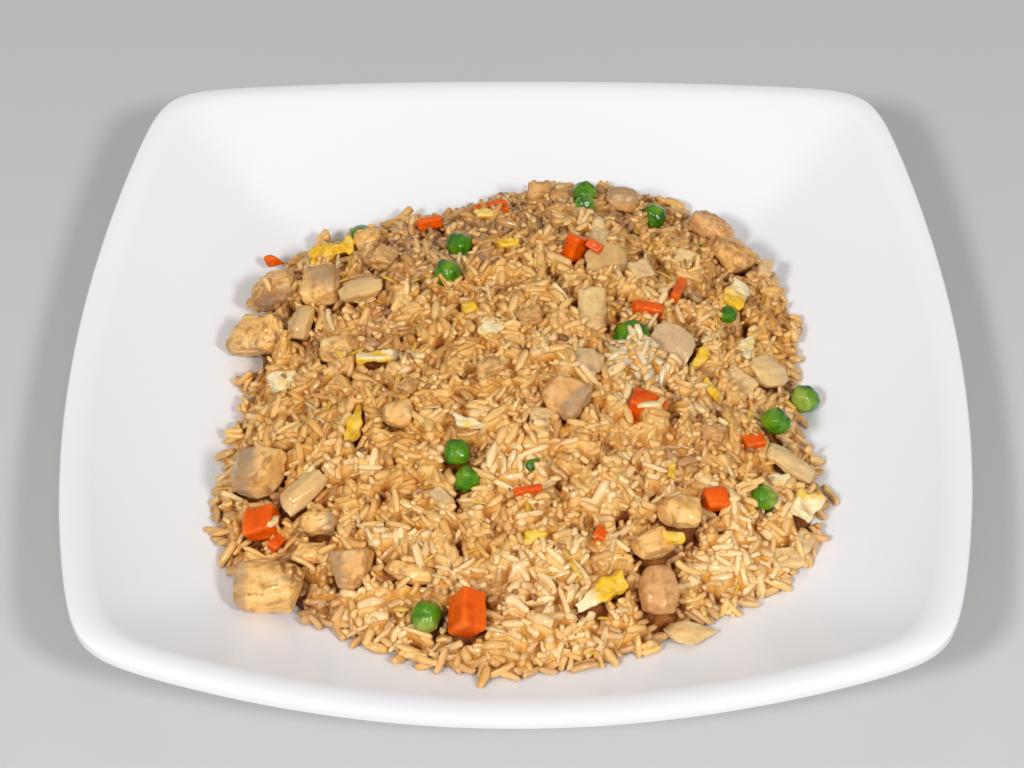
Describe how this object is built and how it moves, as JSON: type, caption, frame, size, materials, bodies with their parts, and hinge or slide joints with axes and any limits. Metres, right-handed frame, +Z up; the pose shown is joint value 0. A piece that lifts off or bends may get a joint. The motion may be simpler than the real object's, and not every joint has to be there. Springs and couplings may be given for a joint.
{
  "type": "fried rice plate",
  "caption": "Square white coupe plate with a heap of fried rice, mixed with peas, diced carrot, chicken, onion and scrambled egg.",
  "frame": {"origin": "centre of the plate on the surface it stands on", "axes": "+Z up, +X along the plate's near side, +Y away from that side"},
  "size_m": [0.265, 0.265, 0.0498],
  "materials": {
    "melamine": "smooth white glaze, glossy",
    "rice": "moist fried grains, golden, with a light oily sheen",
    "pea": "wet green skin",
    "carrot": "cooked, moist cut faces",
    "chicken": "cooked meat, tan with browned edges",
    "onion": "soft, translucent and moist",
    "egg": "scrambled curds, yellow and white"
  },
  "bodies": {
    "root": {"plate": "melamine", "rice_heap": "rice", "pea_1": "pea", "pea_2": "pea", "pea_3": "pea", "pea_4": "pea", "pea_5": "pea", "pea_6": "pea", "pea_7": "pea", "pea_8": "pea", "pea_9": "pea", "pea_10": "pea", "pea_11": "pea", "pea_12": "pea", "pea_13": "pea", "carrot_1": "carrot", "carrot_2": "carrot", "carrot_3": "carrot", "carrot_4": "carrot", "carrot_5": "carrot", "carrot_6": "carrot", "carrot_7": "carrot", "carrot_8": "carrot", "carrot_9": "carrot", "carrot_10": "carrot", "chicken_1": "chicken", "chicken_2": "chicken", "chicken_3": "chicken", "chicken_4": "chicken", "chicken_5": "chicken", "chicken_6": "chicken", "chicken_7": "chicken", "chicken_8": "chicken", "chicken_9": "chicken", "chicken_10": "chicken", "chicken_11": "chicken", "chicken_12": "chicken", "chicken_13": "chicken", "chicken_14": "chicken", "chicken_15": "chicken", "chicken_16": "chicken", "chicken_17": "chicken", "chicken_18": "chicken", "chicken_19": "chicken", "onion_1": "onion", "onion_2": "onion", "onion_3": "onion", "onion_4": "onion", "onion_5": "onion", "onion_6": "onion", "onion_7": "onion", "onion_8": "onion", "onion_9": "onion", "onion_10": "onion", "egg_1": "egg", "egg_2": "egg", "egg_3": "egg", "egg_4": "egg", "egg_5": "egg", "egg_6": "egg"}
  },
  "joints": []
}
